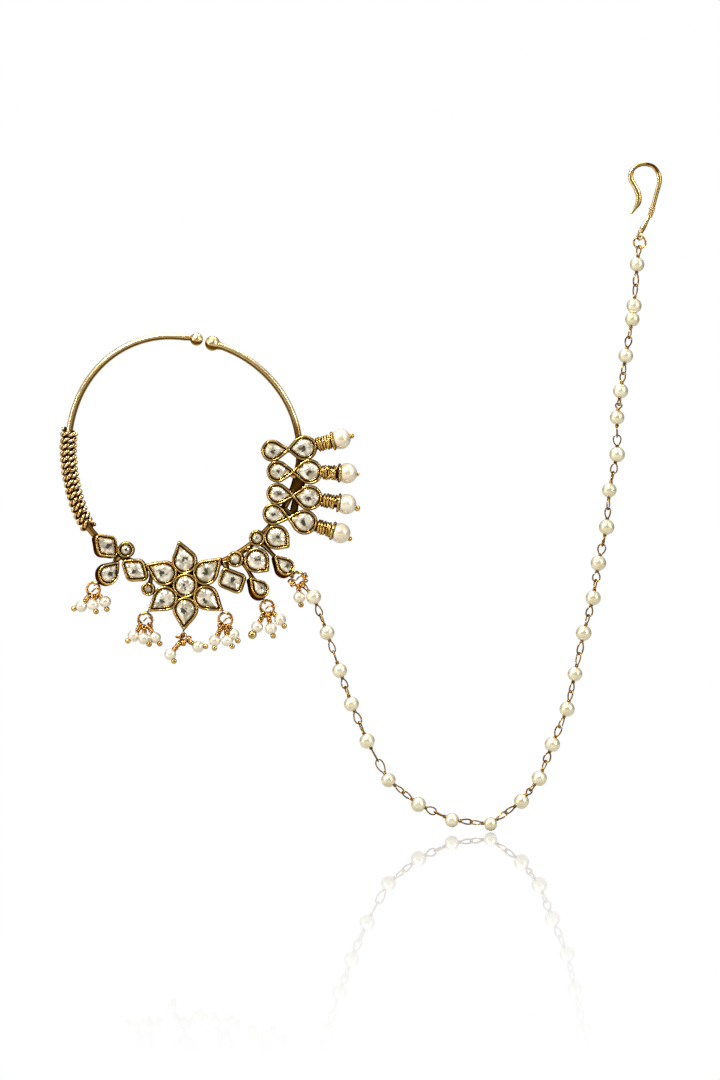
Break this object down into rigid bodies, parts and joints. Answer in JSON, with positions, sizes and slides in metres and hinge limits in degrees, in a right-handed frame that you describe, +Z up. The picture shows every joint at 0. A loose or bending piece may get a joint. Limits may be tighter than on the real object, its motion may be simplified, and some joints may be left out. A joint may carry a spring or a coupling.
{
  "type": "nath nose ring",
  "caption": "Open wire hoop nose ring with foil-backed stones, stiff pearl drops, hanging pearl clusters and a pearl chain that ends in a hair hook.",
  "frame": {"origin": "middle of the gap between the hoop's two end balls, where the ring is worn", "axes": "the hoop lies in the XZ plane with its face along -Y; +Z is up as it hangs, +X runs from the hoop towards the hook"},
  "size_m": [0.1388, 0.006, 0.1538],
  "materials": {
    "antique_gold": "antiqued polish, dark in the recesses",
    "rope_gold": "antiqued twisted wire",
    "drop_gold": "antiqued wound wire",
    "cluster_copper_gold": "bright copper gold",
    "hook_gold": "burnished",
    "cream_pearl": "pearl lustre",
    "ivory_pearl": "pearl lustre",
    "foiled_glass": "foil-backed, polished"
  },
  "bodies": {
    "root": {"chain_hook_side": "ivory_pearl", "chain_hoop_side": "ivory_pearl", "cushion_stone": "foiled_glass", "drop_pearl_1": "cream_pearl", "drop_pearl_2": "cream_pearl", "drop_pearl_3": "cream_pearl", "drop_pearl_4": "cream_pearl", "drop_wire_1": "drop_gold", "drop_wire_2": "drop_gold", "drop_wire_3": "drop_gold", "drop_wire_4": "drop_gold", "flower_stone": "foiled_glass", "frame": "antique_gold", "hair_hook": "hook_gold", "hook_ring": "hook_gold", "leaf_stone_lower": "foiled_glass", "leaf_stone_upper": "foiled_glass", "lozenge_stone_inner": "foiled_glass", "lozenge_stone_outer": "foiled_glass", "pearl_cluster_1": "cluster_copper_gold", "pearl_cluster_2": "cluster_copper_gold", "pearl_cluster_3": "cluster_copper_gold", "pearl_cluster_4": "cluster_copper_gold", "pearl_cluster_5": "cluster_copper_gold", "pearl_cluster_6": "cluster_copper_gold", "petal_stone_1": "foiled_glass", "petal_stone_2": "foiled_glass", "petal_stone_3": "foiled_glass", "petal_stone_4": "foiled_glass", "petal_stone_5": "foiled_glass", "petal_stone_6": "foiled_glass", "rope_winding": "rope_gold", "round_stone_lower": "foiled_glass", "round_stone_upper": "foiled_glass", "row_stone_inner_1": "foiled_glass", "row_stone_inner_2": "foiled_glass", "row_stone_inner_3": "foiled_glass", "row_stone_inner_4": "foiled_glass", "row_stone_outer_1": "foiled_glass", "row_stone_outer_2": "foiled_glass", "row_stone_outer_3": "foiled_glass", "row_stone_outer_4": "foiled_glass", "side_stone": "foiled_glass", "small_stone_left": "foiled_glass", "small_stone_lower": "foiled_glass", "small_stone_upper": "foiled_glass", "tiny_stone_left": "foiled_glass"}
  },
  "joints": []
}
